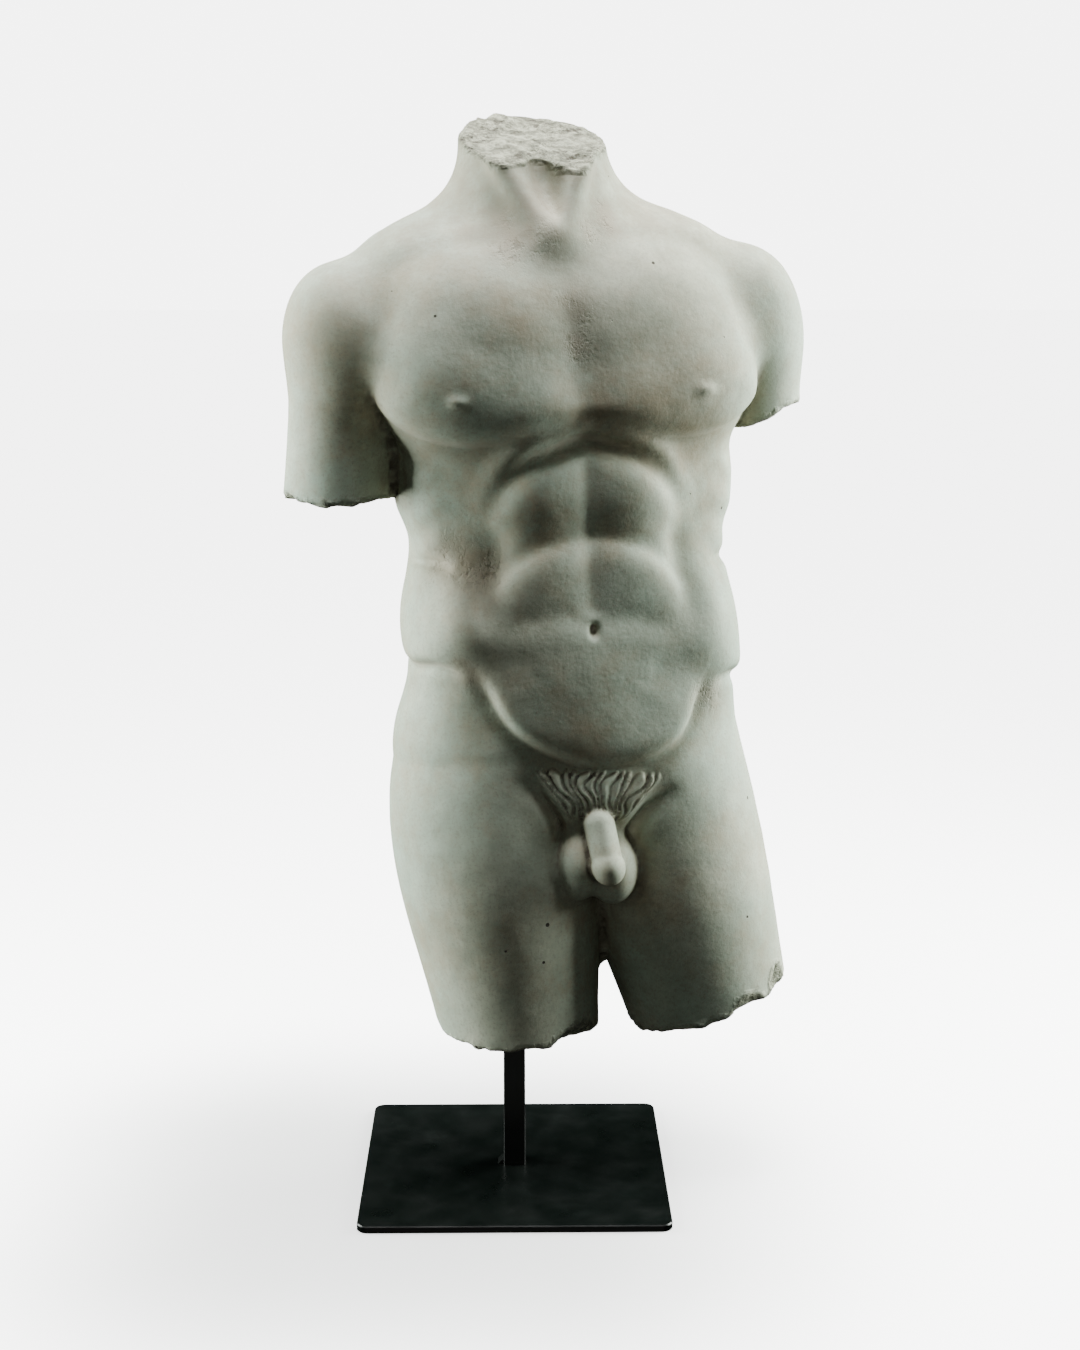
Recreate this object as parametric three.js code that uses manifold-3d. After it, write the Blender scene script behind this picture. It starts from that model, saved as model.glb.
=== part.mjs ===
// A plaster cast of an athlete's torso, in the classical manner, held up by a square steel bar that stands on
// a square steel plate. The neck, both arms and both thighs end in rough breaks.
// Millimetres, +Z up. The origin is on the floor under the middle of the plate, and the figure faces -Y.
// The figure's own right side is at -X.
import * as THREE from "three";
import { mergeVertices } from "three/addons/utils/BufferGeometryUtils.js";
import Module from "manifold-3d";

// Steel stand
const plateSide = 250;
const plateThickness = 6;
const plateCornerRadius = 9;
const plateEdgeBevel = 0.8;
const barWidth = 18;
const barEdgeRound = 1.2;
const barShowing = 125; // from the plate up to the thigh's break
const barInSocket = 120; // from the break up into the thigh
const weldLeg = 5;
const weldLength = 12;
const weldBite = 2; // how far the weld reaches into the bar
const socketClearance = 0.3;
const socketMouth = plateThickness + barShowing;
const cornerSteps = 4;

// Plaster figure
const figureHeight = 731; // from the right thigh's break to the top of the neck's break
const gridCell = 6;
const fineCell = 3; // around the groin, for the locks of hair
const clearCells = 3; // how far from the skin the distance is taken less often
const pinchFill = gridCell / 4;
const figureTriangles = 9100;
const shareEachRound = 0.12; // of the edges, closed up in one round of thinning
const evenness = 0.002; // how much a long edge is kept, for faces of even size
const slimmest = 0.12; // a face's least area, doubled, as a share of its longest edge squared
const mostTurn = 0.5; // cosine of the most that a face may turn
const flattest = 1e-4; // below this the planes at a point are too nearly the same to cross in one point
const farthest = 2; // how far a new point may lie from its edge's middle, in lengths of the edge
const sameCorner = 1e-4;

// The figure below is drawn 731 tall, with z = 0 at the right thigh's break, and is scaled to figureHeight.
const drawnHeight = 731;
const drawingScale = figureHeight / drawnHeight;
const degree = Math.PI / 180;

// A smooth curve through rows of [height, value, value, ...], in order of height.
function through(rows) {
  const tangents = rows.map((row, i) => {
    const before = rows[Math.max(0, i - 1)];
    const after = rows[Math.min(rows.length - 1, i + 1)];
    return row.map((_, k) => (k === 0 ? 0 : (after[k] - before[k]) / (after[0] - before[0])));
  });
  return (height) => {
    let i = 0;
    while (i < rows.length - 2 && height > rows[i + 1][0]) i++;
    const [a, b] = [rows[i], rows[i + 1]];
    const span = b[0] - a[0];
    const t = Math.min(1, Math.max(0, (height - a[0]) / span));
    const [t2, t3] = [t * t, t * t * t];
    return a.slice(1).map(
      (value, n) =>
        value * (2 * t3 - 3 * t2 + 1) +
        b[n + 1] * (3 * t2 - 2 * t3) +
        span * (tangents[i][n + 1] * (t3 - 2 * t2 + t) + tangents[i + 1][n + 1] * (t3 - t2)),
    );
  };
}

// Pose: at each height, the trunk's axis in x and y, its turn about z in degrees, and how far its left side
// drops for each millimetre outwards. The weight is on the right leg, so the hips drop to the left.
const pose = through([
  [120, 50, 14, 11, 0.09],
  [230, 49, 14, 11, 0.085],
  [330, 44, 16, 12, 0.05],
  [400, 42, 17, 12, 0.0],
  [500, 37, 14, 12, -0.035],
  [580, 28, 10, 12, -0.04],
  [640, 22, 8, 12, -0.043],
  [740, 15, 8, 12, 0],
]);

// Trunk without its muscles: height, half width, depth in front of the axis, depth behind it.
const trunkSections = through([
  [110, 92, 30, 50],
  [150, 112, 46, 72],
  [186, 124, 60, 84],
  [228, 119, 70, 84],
  [278, 121, 77, 78],
  [328, 117, 81, 73],
  [368, 113, 80, 70],
  [401, 122, 79, 71],
  [433, 135, 80, 76],
  [470, 136, 80, 82],
  [513, 134, 78, 84],
  [553, 134, 75, 84],
  [600, 130, 68, 76],
  [640, 112, 50, 58],
]);
const trunkSquareness = 2.35;
const midlineSoftness = 10;
const [trunkFoot, trunkTop] = [118, 642];
const [trunkFootSoftness, trunkTopSoftness] = [40, 30];
const trunkInside = -60; // the distance on the trunk's axis, where it can't be worked out
const slightest = 1e-6;
const girthRadius = 105; // turns an angle about the trunk's axis into a distance around it

const mix = (a, b, t) => a + (b - a) * t;
const clamp01 = (t) => Math.min(1, Math.max(0, t));
const ease = (low, high, value) => {
  const t = clamp01((value - low) / (high - low));
  return t * t * (3 - 2 * t);
};

// Joins two distances with a fillet about as wide as soft.
function join(a, b, soft) {
  const h = Math.max(soft - Math.abs(a - b), 0) / soft;
  return Math.min(a, b) - (h * h * soft) / 4;
}
const cut = (a, b, soft) => -join(-a, -b, soft);

function turned({ lean = 0, turn = 0, nod = 0 }) {
  const euler = new THREE.Euler(nod * degree, lean * degree, turn * degree, "ZYX");
  return new THREE.Matrix3().setFromMatrix4(new THREE.Matrix4().makeRotationFromEuler(euler)).elements;
}

// A rounded mass of flesh: an ellipsoid at a place, with three radii and up to three turns in degrees.
function mass(at, radii, soft, turns = {}) {
  const m = turned(turns);
  return { soft, side: turns.side ?? 0, distance: (x, y, z) => {
    const [dx, dy, dz] = [x - at[0], y - at[1], z - at[2]];
    const a = (m[0] * dx + m[1] * dy + m[2] * dz) / radii[0];
    const b = (m[3] * dx + m[4] * dy + m[5] * dz) / radii[1];
    const c = (m[6] * dx + m[7] * dy + m[8] * dz) / radii[2];
    const reach = Math.hypot(a, b, c);
    const slope = Math.hypot(a / radii[0], b / radii[1], c / radii[2]);
    return slope < 1e-9 ? -Math.min(...radii) : (reach * (reach - 1)) / slope;
  } };
}

// A long muscle from one point to another, with a radius at each end, a swelling nearer the start, and a
// thickness in depth as a share of its width.
const swellScale = 6.75; // brings t (1 - t)^2 to 1 at its highest
function strand(from, to, [start, end], soft, { swell = 0, flat = 1, side = 0 } = {}) {
  const [ux, uy, uz] = [to[0] - from[0], to[1] - from[1], to[2] - from[2]];
  const length2 = ux * ux + uy * uy + uz * uz;
  return { soft, side, distance: (x, y, z) => {
    const t = clamp01(((x - from[0]) * ux + (y - from[1]) * uy + (z - from[2]) * uz) / length2);
    const dx = x - from[0] - t * ux;
    const dy = y - from[1] - t * uy;
    const dz = z - from[2] - t * uz;
    const radius = mix(start, end, t) + swell * swellScale * t * (1 - t) ** 2;
    const reach = Math.hypot(dx, dy / flat, dz);
    const slope = Math.hypot(dx, dy / (flat * flat), dz) / Math.max(reach, slightest);
    return (reach - radius) / Math.max(slope, slightest);
  } };
}

// Muscles in the trunk's own frame: x is measured from the midline, and each one is on both sides.
const torsoMuscles = [
  // chest
  mass([58, -40, 556], [88, 47, 74], 38, { lean: -10, turn: 6 }),
  mass([60, -46, 520], [64, 39, 33], 26, { lean: -6, turn: 6 }),
  mass([102, -38, 534], [46, 38, 44], 30, { lean: -30, turn: 18 }),
  strand([10, -50, 630], [112, -26, 630], [8, 7], 16, { flat: 0.8 }),
  // shoulder and back
  strand([30, 18, 669], [115, 10, 623], [22, 24], 24, { flat: 1.2 }),
  strand([30, 4, 640], [158, 4, 591], [34, 36], 20, { flat: 1.2 }),
  mass([80, 58, 558], [46, 26, 62], 18, { lean: 12, turn: -12 }),
  strand([124, 36, 560], [92, 46, 400], [30, 20], 26),
  strand([24, 60, 560], [27, 54, 330], [24, 24], 18),
  // abdomen
  mass([30, -54, 440], [42, 31, 44], 24),
  mass([32, -54, 378], [42, 32, 40], 24),
  mass([93, -10, 338], [37, 70, 50], 50, { lean: 4 }),
  // hip and buttock
  mass([71, 4, 226], [41, 62, 60], 34),
  mass([58, 54, 202], [60, 52, 66], 16),
];
const belly = mass([0, -38, 300], [82, 50, 86], 24);

// Groin: the mound with its hair, then the genitals, with x from the midline, left and right.
const mound = mass([0, -55, 208], [48, 31, 35], 14);
const scrotum = [mass([-13, -62, 150], [22, 27, 32], 5), mass([17, -62, 148], [21, 27, 32], 14)];
const penis = strand([1, -84, 186], [6, -93, 155], [14.5, 15.5], 2);

// Limbs. The right thigh bears the weight.
const rightThigh = strand([-24, 6, 235], [7, 0, -24], [74, 65], 30, { swell: 14 });
const leftThigh = strand([102, 26, 235], [174, 22, -30], [76, 65], 30, { swell: 8 });
const deltoid = mass([161, 4, 560], [45, 50, 56], 30, { lean: 8 });
const rightArm = strand([168, 4, 560], [186, 8, 400], [40, 43], 8);
const leftArm = strand([163, 4, 560], [164, 6, 440], [38, 39], 8);
const neck = strand([0, 4, 600], [0, 12, 780], [60, 57], 34);
const throatCords = [
  strand([-8, -57, 642], [-42, -36, 704], [8, 9], 10),
  strand([2, -57, 642], [30, -43, 704], [8, 9], 10),
];
const throatHollow = mass([-7, -67, 694], [20, 28, 44], 9, { lean: -8, nod: -6 });

// Marks carved along a curve on the skin. A point of a curve is [girth from the midline, height].
// A groove or a ridge has a height, less than nought for a groove, and a width. A ledge steps up by its
// height on the right-hand side of its curve, and comes down to the skin again within its reach.
const curveSteps = 4;
const strokeReach = 3; // how far a mark is felt, in widths or reaches
const ledgeSteepness = 4;

function curveOf(points) {
  const spline = new THREE.SplineCurve(points.map(([u, v]) => new THREE.Vector2(u, v)));
  return spline.getPoints(points.length * curveSteps).map((point) => [point.x, point.y]);
}

function nearest(line, u, v) {
  let best = { distance: Infinity, along: 0, right: 1 };
  for (let i = 0; i < line.length - 1; i++) {
    const [[x0, y0], [x1, y1]] = [line[i], line[i + 1]];
    const [ex, ey] = [x1 - x0, y1 - y0];
    const t = clamp01(((u - x0) * ex + (v - y0) * ey) / (ex * ex + ey * ey));
    const [dx, dy] = [u - x0 - t * ex, v - y0 - t * ey];
    const distance = Math.hypot(dx, dy);
    if (distance < best.distance) {
      const right = Math.sign(ey * dx - ex * dy) || 1;
      best = { distance, along: (i + t) / (line.length - 1), right };
    }
  }
  return best;
}

function stroke(points, height, width, { reach = 0, fade = [0, 0], side = 0 } = {}) {
  const line = curveOf(points);
  const far = Math.max(strokeReach * width, strokeReach * reach);
  const box = [0, 1].map((k) => [
    Math.min(...line.map((point) => point[k])) - far,
    Math.max(...line.map((point) => point[k])) + far,
  ]);
  return { side, rise: (u, v) => {
    if (u < box[0][0] || u > box[0][1] || v < box[1][0] || v > box[1][1]) return 0;
    const { distance, along, right } = nearest(line, u, v);
    const atStart = fade[0] ? ease(0, fade[0], along) : 1;
    const atEnd = fade[1] ? ease(0, fade[1], 1 - along) : 1;
    const ends = Math.min(atStart, atEnd);
    if (!reach) return height * ends * Math.exp(-((distance / width) ** 2));
    const s = distance * right;
    const step = 1 / (1 + Math.exp((-s * ledgeSteepness) / width));
    return height * ends * step * Math.exp(-((Math.max(s, 0) / reach) ** 2));
  } };
}

const pecEdge = [
  [147, 552], [139, 518], [121, 497], [102, 488], [75, 487], [50, 492], [20, 500], [0, 506], [-16, 507],
];
const ribArch = [[-12, 485], [0, 486], [22, 481], [44, 474], [62, 464], [76, 449], [86, 430], [92, 410]];
const upperLine = [[-12, 410], [0, 411], [36, 406], [60, 394], [80, 374], [90, 356]];
const navelLine = [[-12, 345], [0, 346], [36, 349], [66, 340], [84, 322]];
const shieldEdge = [[90, 318], [90, 300], [86, 280], [74, 258], [54, 243], [30, 235], [0, 232], [-20, 233]];
const beside = (line, share, up) => line.map(([u, v]) => [u * share, v + up]);
const strokes = [
  // breastbone, and the lower edge of the chest muscle
  stroke([[0, 600], [0, 560], [0, 504]], -3.5, 18, { fade: [0.5, 0.2] }),
  stroke(pecEdge, 5, 9, { reach: 28, fade: [0.2, 0.1] }),
  stroke(pecEdge, -3, 7, { fade: [0.3, 0.2] }),
  // rib arch: a crease, a band of rib above it, and the abdomen's upper rim below it
  stroke(ribArch, -7, 8, { fade: [0, 0.8] }),
  stroke(beside(ribArch, 1.07, 13), 4, 8, { fade: [0, 0.8] }),
  stroke(beside(ribArch, 0.93, -8), 3.5, 15, { reach: 38, fade: [0, 0.5] }),
  // white line, and the two cross lines of the abdomen, each with a rim below it
  stroke([[0, 486], [0, 420], [0, 350]], -1.6, 9, { fade: [0.2, 0.1] }),
  stroke(upperLine, 4.5, 11, { reach: 34, fade: [0, 0.5] }),
  stroke(upperLine, -2.2, 11, { fade: [0, 0.6] }),
  stroke(navelLine, 2.5, 12, { reach: 34, fade: [0, 0.5] }),
  stroke(navelLine, -1.5, 8, { fade: [0, 0.5] }),
  // outer edge of the abdomen
  stroke([[80, 428], [82, 397], [83, 362], [84, 330], [88, 306]], -4, 11, { fade: [0.3, 0.2] }),
  // teeth of the rib muscle
  stroke([[114, 470], [130, 458], [150, 452]], 2.2, 9, { fade: [0.4, 0.5] }),
  stroke([[112, 444], [130, 431], [148, 426]], 2.2, 9, { fade: [0.4, 0.5] }),
  stroke([[112, 418], [128, 406], [146, 400]], 1.8, 8, { fade: [0.4, 0.5] }),
  // waist, hip crest, and the furrow of the groin
  stroke([[108, 386], [128, 390], [158, 388], [180, 392]], -3.5, 5.5, { fade: [0.3, 0.6] }),
  stroke([[98, 300], [120, 305], [150, 299], [185, 304], [225, 316]], -3, 6, { fade: [0.2, 0.7] }),
  stroke([[225, 319], [185, 307], [150, 302], [120, 308], [98, 303]], 4, 6, { reach: 22, fade: [0.7, 0.3] }),
  stroke(shieldEdge, 6, 8, { reach: 34, fade: [0.35, 0.1] }),
  stroke(shieldEdge, -4, 8, { fade: [0.3, 0.5] }),
  stroke([[74, 222], [56, 206], [42, 188], [36, 172], [33, 140]], -7, 6.5, { fade: [0.4, 0.1] }),
  // hollow inside the hip bone
  stroke([[104, 284], [94, 264], [80, 240]], -4, 14, { fade: [0.4, 0.4] }),
  // nipple and navel
  stroke([[86, 521], [87, 521]], 2.6, 5.5),
  stroke([[0, 342], [0, 340]], -6, 4),
];
// Locks of hair between the belly's edge and the root of the penis.
const [hairTop, hairFoot] = [228, 192];
const [hairTopHalf, hairFootHalf] = [44, 24];
const hairSpread = 1.18; // how far the outer locks stand beyond the half widths, as a share
const hairFootDip = 6; // how much lower the middle locks end
const locks = 9;
const lockBends = [-2, 3]; // of each second lock
const [lockHeight, lockWidth] = [4, 2.8];
const lockFade = [0.1, 0.1];
for (let i = 0; i < locks; i++) {
  const share = (2 * i) / (locks - 1) - 1;
  const bend = lockBends[i % 2];
  const points = [0, 0.5, 1].map((t) => [
    mix(hairTopHalf, hairFootHalf, t) * share * hairSpread + bend * Math.sin(Math.PI * t),
    mix(hairTop, hairFoot - hairFootDip * (1 - share * share), t),
  ]);
  strokes.push({ ...stroke(points, lockHeight, lockWidth, { fade: lockFade }), signed: true });
}

// A break: a rippled plane through a point, with the direction that it faces.
const [rippleHeight, rippleStep] = [0.9, 9];
function plane(at, facing) {
  const size = Math.hypot(...facing);
  const n = facing.map((value) => value / size);
  return (x, y, z) => {
    const ripple = Math.sin(x / rippleStep) + Math.sin(y / rippleStep + x / (2 * rippleStep));
    return (x - at[0]) * n[0] + (y - at[1]) * n[1] + (z - at[2]) * n[2] + rippleHeight * ripple;
  };
}
const neckBreak = plane([0, -2, 711], [0, -0.37, 1]);
const rightArmBreak = plane([-168, 4, 440], [0, 0, -1]);
const leftArmBreak = plane([168, 4, 494], [0.25, 0, -1]);
const rightThighBreak = plane([3, 0, -4], [0, 0, -1]);
const leftThighBreak = plane([160, 22, 12], [0.34, 0, -1]);

// Flakes knocked off the rims of the breaks: round hollows, those of the arms in the trunk's own frame.
const thighFlakes = [
  mass([212, -68, 13], [40, 40, 38], 3),
  mass([244, -24, 38], [34, 34, 34], 3),
  mass([66, -70, -20], [42, 52, 40], 3),
  mass([110, -70, -30], [34, 34, 34], 3),
  mass([-92, -16, -34], [46, 90, 46], 3),
];
const armFlakes = [mass([-240, -8, 418], [36, 44, 34], 3), mass([226, -14, 474], [24, 34, 22], 3)];

// How softly the pieces run together, and how sharp the rims of the breaks are.
const hipSoftness = 30;
const cleftSoftness = 4;
const shoulderSoftness = 20;
const [armpitSoftness, shoulderTopSoftness] = [5, 24];
const [armpitFoot, armpitTop] = [520, 560];
const thighRim = 4;
const armRim = 3;
const neckRim = 3;
const markDepth = 18; // marks are carved only this near to the skin

// The trunk's own frame at a point: across, in depth, and up.
function inTrunk(x, y, z) {
  const [axisX, axisY, turn, drop] = pose(z);
  const [dx, dy] = [x - axisX, y - axisY];
  const [c, s] = [Math.cos(turn * degree), Math.sin(turn * degree)];
  const across = dx * c + dy * s;
  return [across, dy * c - dx * s, z + drop * across];
}

function trunkDistance(across, depth, height) {
  const [side, front, back] = trunkSections(height);
  const deep = depth < 0 ? front : back;
  const [u, v] = [Math.abs(across) / side, Math.abs(depth) / deep];
  const n = trunkSquareness;
  const reach = (u ** n + v ** n) ** (1 / n);
  const slope = Math.hypot(u ** (n - 1) / side, v ** (n - 1) / deep) / Math.max(reach, slightest) ** (n - 1);
  const round = slope < slightest ? trunkInside : (reach - 1) / slope;
  return cut(cut(round, height - trunkTop, trunkTopSoftness), trunkFoot - height, trunkFootSoftness);
}

function figureDistance(x, y, z) {
  const [across, depth, height] = inTrunk(x, y, z);
  const m = Math.hypot(across, midlineSoftness);
  const paired = (piece) => piece.distance(m, depth, height);
  const single = (piece) => piece.distance(across, depth, height);

  let d = trunkDistance(across, depth, height);
  for (const muscle of torsoMuscles) d = join(d, paired(muscle), muscle.soft);
  d = join(d, paired(belly), belly.soft);
  d = join(d, paired(mound), mound.soft);
  const right = cut(rightThigh.distance(x, y, z), rightThighBreak(x, y, z), thighRim);
  const left = cut(leftThigh.distance(x, y, z), leftThighBreak(x, y, z), thighRim);
  d = join(d, join(right, left, cleftSoftness), hipSoftness);
  for (const flake of thighFlakes) d = cut(d, -flake.distance(x, y, z), flake.soft);

  if (Math.abs(d) < markDepth) {
    const girth = Math.atan2(Math.abs(across), -depth) * girthRadius;
    let rise = 0;
    for (const mark of strokes) rise += mark.rise(mark.signed && across < 0 ? -girth : girth, height);
    d -= rise;
  }
  for (const half of scrotum) d = join(d, single(half), half.soft);
  d = join(d, single(penis), penis.soft);

  const [arm, armBreak] = across < 0 ? [rightArm, rightArmBreak] : [leftArm, leftArmBreak];
  let stump = join(paired(arm), paired(deltoid), shoulderSoftness);
  stump = cut(stump, armBreak(across, depth, height), armRim);
  for (const flake of armFlakes) stump = cut(stump, -single(flake), flake.soft);
  const upTheArmpit = ease(armpitFoot, armpitTop, height);
  d = join(d, stump, mix(armpitSoftness, shoulderTopSoftness, upTheArmpit));

  let collar = paired(neck);
  for (const cord of throatCords) collar = join(collar, single(cord), cord.soft);
  collar = cut(collar, -single(throatHollow), throatHollow.soft);
  return join(d, cut(collar, neckBreak(across, depth, height), neckRim), neck.soft);
}

// Heights or widths from low to high, a coarse step apart, or a fine one inside a stretch.
function gridLines(low, high, coarse, [fineLow, fineHigh] = [Infinity, Infinity]) {
  const lines = [low];
  while (lines.at(-1) < high) {
    const last = lines.at(-1);
    lines.push(last + (last >= fineLow && last < fineHigh ? fineCell : coarse));
  }
  return lines;
}

// True for the patterns of a cell's eight corners, one bit each, whose inside is all of one piece.
const cellCorners = [0, 1, 2, 3, 4, 5, 6, 7];
const cellLinks = [1, 2, 4];
const patterns = 1 << cellCorners.length;
const inOnePiece = Array.from({ length: patterns }, (_, pattern) => {
  const corners = cellCorners.filter((c) => pattern & (1 << c));
  const reached = new Set(corners.slice(0, 1));
  for (const c of reached)
    for (const link of cellLinks) if (corners.includes(c ^ link)) reached.add(c ^ link);
  return reached.size === corners.length;
});

// Fills the cells where the inside or the outside meets itself only along an edge or at a corner, so that
// the surface stays a simple skin.
function fillPinches(values, index, [nx, ny, nz]) {
  const cornerOf = (c, i, j, k) => index(i + (c & 1), j + ((c >> 1) & 1), k + (c >> 2));
  let filled = 0;
  for (let k = 0; k < nz - 1; k++)
    for (let j = 0; j < ny - 1; j++)
      for (let i = 0; i < nx - 1; i++) {
        let pattern = 0;
        for (const c of cellCorners) {
          if (values[cornerOf(c, i, j, k)] < 0) pattern |= 1 << c;
        }
        if (inOnePiece[pattern] && inOnePiece[patterns - 1 - pattern]) continue;
        const corners = cellCorners.map((c) => cornerOf(c, i, j, k));
        const outside = corners.filter((corner) => values[corner] >= 0);
        outside.sort((a, b) => values[a] - values[b]);
        values[outside[0]] = -pinchFill;
        filled++;
      }
  return filled;
}

// The closed surface where the distance is nought: one vertex in each grid cell that the surface crosses,
// and one four-sided face across each grid edge that it crosses.
function surfaceOf(distance, xs, ys, zs) {
  const [nx, ny, nz] = [xs.length, ys.length, zs.length];
  const index = (i, j, k) => i + nx * (j + ny * k);
  const values = new Float32Array(nx * ny * nz);
  for (let k = 0; k < nz; k++)
    for (let j = 0; j < ny; j++) {
      let [last, clear] = [0, -Infinity];
      for (let i = 0; i < nx; i++) {
        if (xs[i] >= clear) {
          last = distance(xs[i], ys[j], zs[k]);
          clear = xs[i] + (Math.abs(last) - clearCells * gridCell) / 2;
        }
        values[index(i, j, k)] = last;
      }
    }
  while (fillPinches(values, index, [nx, ny, nz]) > 0);
  const vertexOf = new Map();
  const points = [];
  const cellVertex = (i, j, k) => {
    const key = index(i, j, k);
    if (vertexOf.has(key)) return vertexOf.get(key);
    const sum = [0, 0, 0];
    let crossings = 0;
    const corner = (c) => [i + (c & 1), j + ((c >> 1) & 1), k + ((c >> 2) & 1)];
    for (const c of cellCorners)
      for (const axis of cellLinks) {
        if (c & axis) continue;
        const [p, q] = [corner(c), corner(c | axis)];
        const [a, b] = [values[index(...p)], values[index(...q)]];
        if (a < 0 === b < 0) continue;
        const t = a / (a - b);
        sum[0] += mix(xs[p[0]], xs[q[0]], t);
        sum[1] += mix(ys[p[1]], ys[q[1]], t);
        sum[2] += mix(zs[p[2]], zs[q[2]], t);
        crossings++;
      }
    points.push(sum.map((value) => value / crossings));
    vertexOf.set(key, points.length - 1);
    return points.length - 1;
  };
  const faces = [];
  const steps = [[1, 0, 0], [0, 1, 0], [0, 0, 1]];
  for (let k = 1; k < nz - 1; k++)
    for (let j = 1; j < ny - 1; j++)
      for (let i = 1; i < nx - 1; i++) {
        const here = values[index(i, j, k)] < 0;
        for (let axis = 0; axis < 3; axis++) {
          const [di, dj, dk] = steps[axis];
          const there = values[index(i + di, j + dj, k + dk)] < 0;
          if (here === there) continue;
          const [u, v] = [steps[(axis + 1) % 3], steps[(axis + 2) % 3]];
          const ring = [[0, 0], [1, 0], [1, 1], [0, 1]].map(([a, b]) =>
            cellVertex(i - a * u[0] - b * v[0], j - a * u[1] - b * v[1], k - a * u[2] - b * v[2]));
          if (!here) ring.reverse();
          faces.push([ring[0], ring[1], ring[2]], [ring[0], ring[2], ring[3]]);
        }
      }
  return { points, faces };
}

// How well a point fits the planes of some faces: the sum of its squared distances from them.
function fitOf(normal, offset, weight) {
  const [a, b, c, d] = [...normal, offset];
  return [a * a, a * b, a * c, a * d, b * b, b * c, b * d, c * c, c * d, d * d].map((value) => value * weight);
}
const addFit = (p, q) => p.map((value, i) => value + q[i]);
function misfit([aa, ab, ac, ad, bb, bc, bd, cc, cd, dd], [x, y, z]) {
  const inX = x * (aa * x + 2 * (ab * y + ac * z + ad));
  const inY = y * (bb * y + 2 * (bc * z + bd));
  const inZ = z * (cc * z + 2 * cd);
  return inX + inY + inZ + dd;
}
function bestPoint(fit, from, to) {
  const [aa, ab, ac, ad, bb, bc, bd, cc, cd] = fit;
  const matrix = new THREE.Matrix3().set(aa, ab, ac, ab, bb, bc, ac, bc, cc);
  const size = (aa + bb + cc) / 3;
  const middle = from.map((value, i) => (value + to[i]) / 2);
  if (Math.abs(matrix.determinant()) > flattest * size ** 3) {
    const solved = new THREE.Vector3(-ad, -bd, -cd).applyMatrix3(matrix.invert()).toArray();
    const gap = Math.hypot(...solved.map((value, i) => value - middle[i]));
    if (gap < farthest * Math.hypot(...from.map((value, i) => value - to[i]))) return solved;
  }
  return [from, to, middle].sort((p, q) => misfit(fit, p) - misfit(fit, q))[0];
}

function normalOf(points, [a, b, c]) {
  const [p, q, r] = [points[a], points[b], points[c]];
  const [ux, uy, uz] = [q[0] - p[0], q[1] - p[1], q[2] - p[2]];
  const [vx, vy, vz] = [r[0] - p[0], r[1] - p[1], r[2] - p[2]];
  return [uy * vz - uz * vy, uz * vx - ux * vz, ux * vy - uy * vx];
}

// Closes up edges until no more than the wanted number of faces is left. Each round takes the edges that
// change the form least, well apart from each other, and leaves out any that would fold a face over.
function thin({ points, faces }, wanted) {
  const fits = points.map(() => new Array(10).fill(0));
  for (const face of faces) {
    const normal = normalOf(points, face);
    const area = Math.hypot(...normal);
    const unit = normal.map((value) => value / area);
    const offset = -unit.reduce((sum, value, i) => sum + value * points[face[0]][i], 0);
    const fit = fitOf(unit, offset, area);
    for (const v of face) fits[v] = addFit(fits[v], fit);
  }
  while (faces.length > wanted) {
    const around = points.map(() => []);
    faces.forEach((face, i) => face.forEach((v) => around[v].push(i)));
    const edges = [];
    for (const face of faces)
      for (let k = 0; k < 3; k++) {
        const [a, b] = [face[k], face[(k + 1) % 3]];
        if (a > b) continue;
        const fit = addFit(fits[a], fits[b]);
        const point = bestPoint(fit, points[a], points[b]);
        const length = Math.hypot(...points[a].map((value, i) => value - points[b][i]));
        edges.push({ a, b, fit, point, cost: misfit(fit, point) + evenness * length ** 4 });
      }
    edges.sort((e, f) => e.cost - f.cost);
    const settled = new Uint8Array(points.length);
    const gone = new Uint8Array(faces.length);
    let budget = Math.min((faces.length - wanted) / 2, edges.length * shareEachRound);
    let merged = 0;
    for (const { a, b, fit, point } of edges) {
      if (budget < 1) break;
      if (settled[a] || settled[b]) continue;
      const ringOf = (v) => new Set(around[v].flatMap((i) => faces[i]));
      const [ringA, ringB] = [ringOf(a), ringOf(b)];
      const shared = [...ringA].filter((v) => ringB.has(v) && v !== a && v !== b);
      if (shared.length !== 2) continue;
      const both = around[a].filter((i) => faces[i].includes(b));
      const moved = [...around[a], ...around[b]].filter((i) => !both.includes(i));
      const folds = moved.some((i) => {
        const before = normalOf(points, faces[i]);
        const corners = faces[i].map((v) => (v === a || v === b ? point : points[v]));
        const after = normalOf(corners, [0, 1, 2]);
        const turn = before.reduce((sum, value, k) => sum + value * after[k], 0);
        const sides = corners.map((p, k) => Math.hypot(...p.map((x, n) => x - corners[(k + 1) % 3][n])));
        const longest = Math.max(...sides);
        return turn < mostTurn * Math.hypot(...before) * Math.hypot(...after)
          || Math.hypot(...after) < slimmest * longest ** 2;
      });
      if (folds) continue;
      points[a] = point;
      fits[a] = fit;
      for (const i of both) gone[i] = 1;
      for (const i of around[b]) faces[i] = faces[i].map((v) => (v === b ? a : v));
      for (const v of [...ringA, ...ringB]) settled[v] = 1;
      budget--;
      merged++;
    }
    faces = faces.filter((_, i) => !gone[i]);
    if (!merged) break;
  }
  const used = [...new Set(faces.flat())];
  const renamed = new Map(used.map((v, i) => [v, i]));
  const kept = faces.map((face) => face.map((v) => renamed.get(v)));
  return { points: used.map((v) => points[v]), faces: kept };
}

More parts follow.
